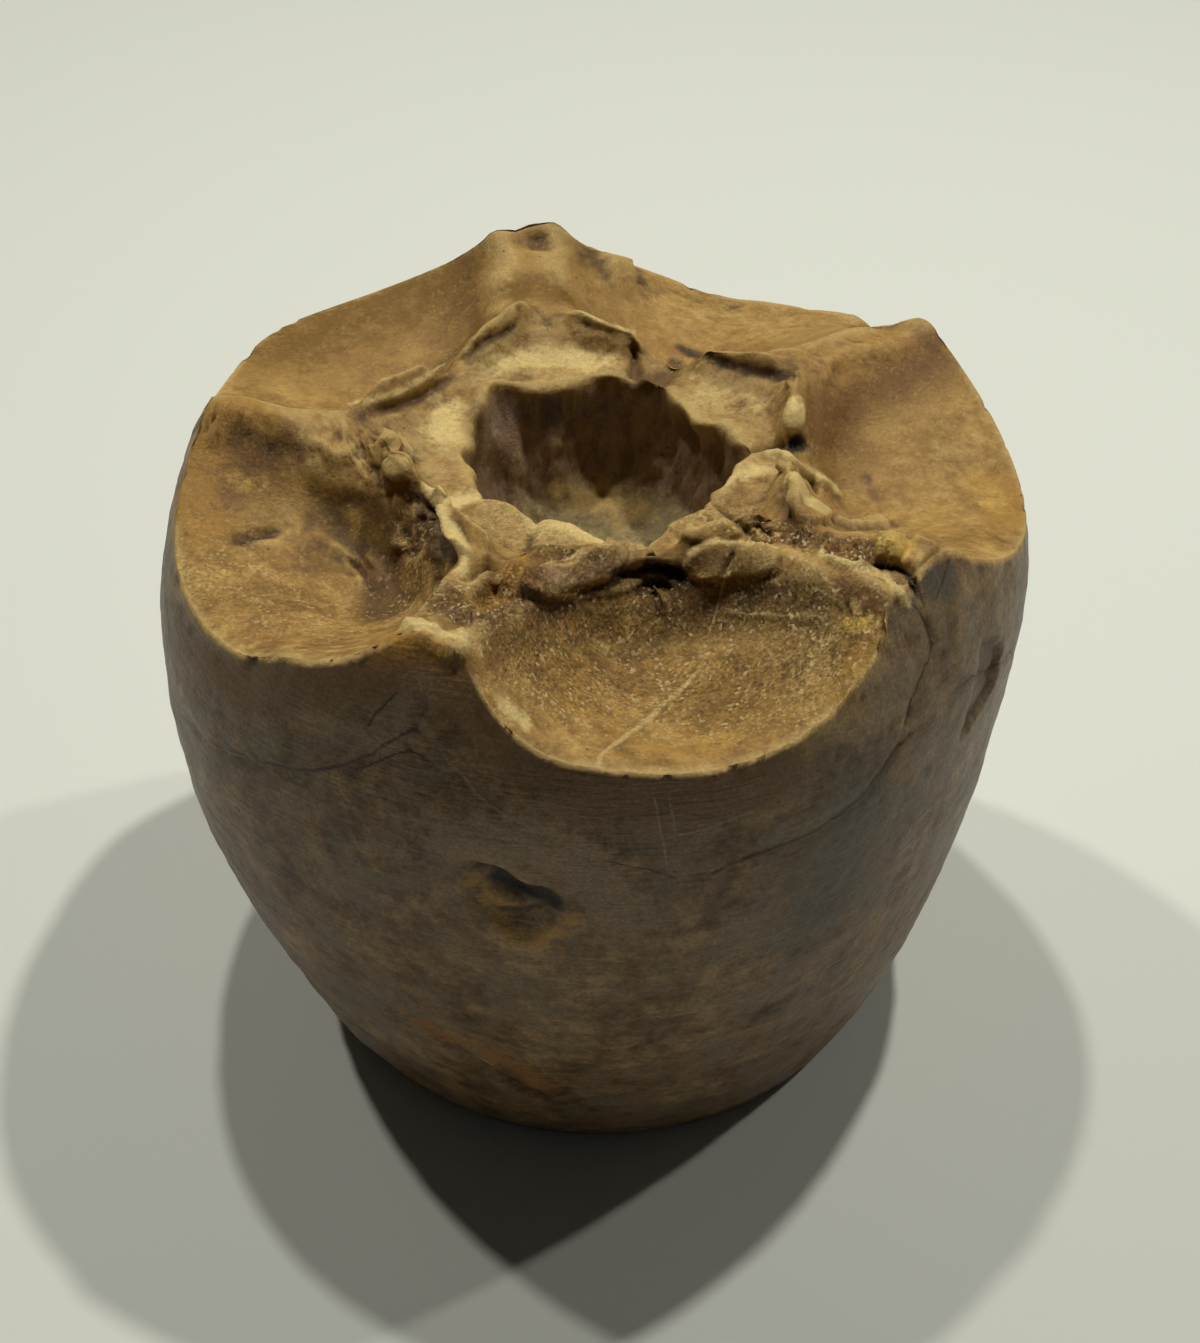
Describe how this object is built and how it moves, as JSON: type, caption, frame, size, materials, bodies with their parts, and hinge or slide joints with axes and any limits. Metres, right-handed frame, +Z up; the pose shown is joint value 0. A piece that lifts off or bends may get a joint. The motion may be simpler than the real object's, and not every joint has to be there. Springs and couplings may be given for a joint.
{
  "type": "fossil crinoid calyx",
  "caption": "Barrel-shaped stone cup of a fossil sea lily, with a flat stem facet below and dished arm facets around a deep round hollow on top.",
  "frame": {"origin": "middle of the bounding box's bottom face, on the surface that the stem facet rests on", "axes": "+Z up along the calyx's axis, from the stem facet to the arm facets; -Y towards the widest dished facet and the healed pit"},
  "size_m": [0.0458, 0.0458, 0.0375],
  "materials": {
    "fossil_stone": "brown recrystallised calcite: grainy glinting tan on top, waxy dark grey-brown on the wall, ochre sediment in the hollows"
  },
  "bodies": {
    "root": {"calyx": "fossil_stone"}
  },
  "joints": []
}
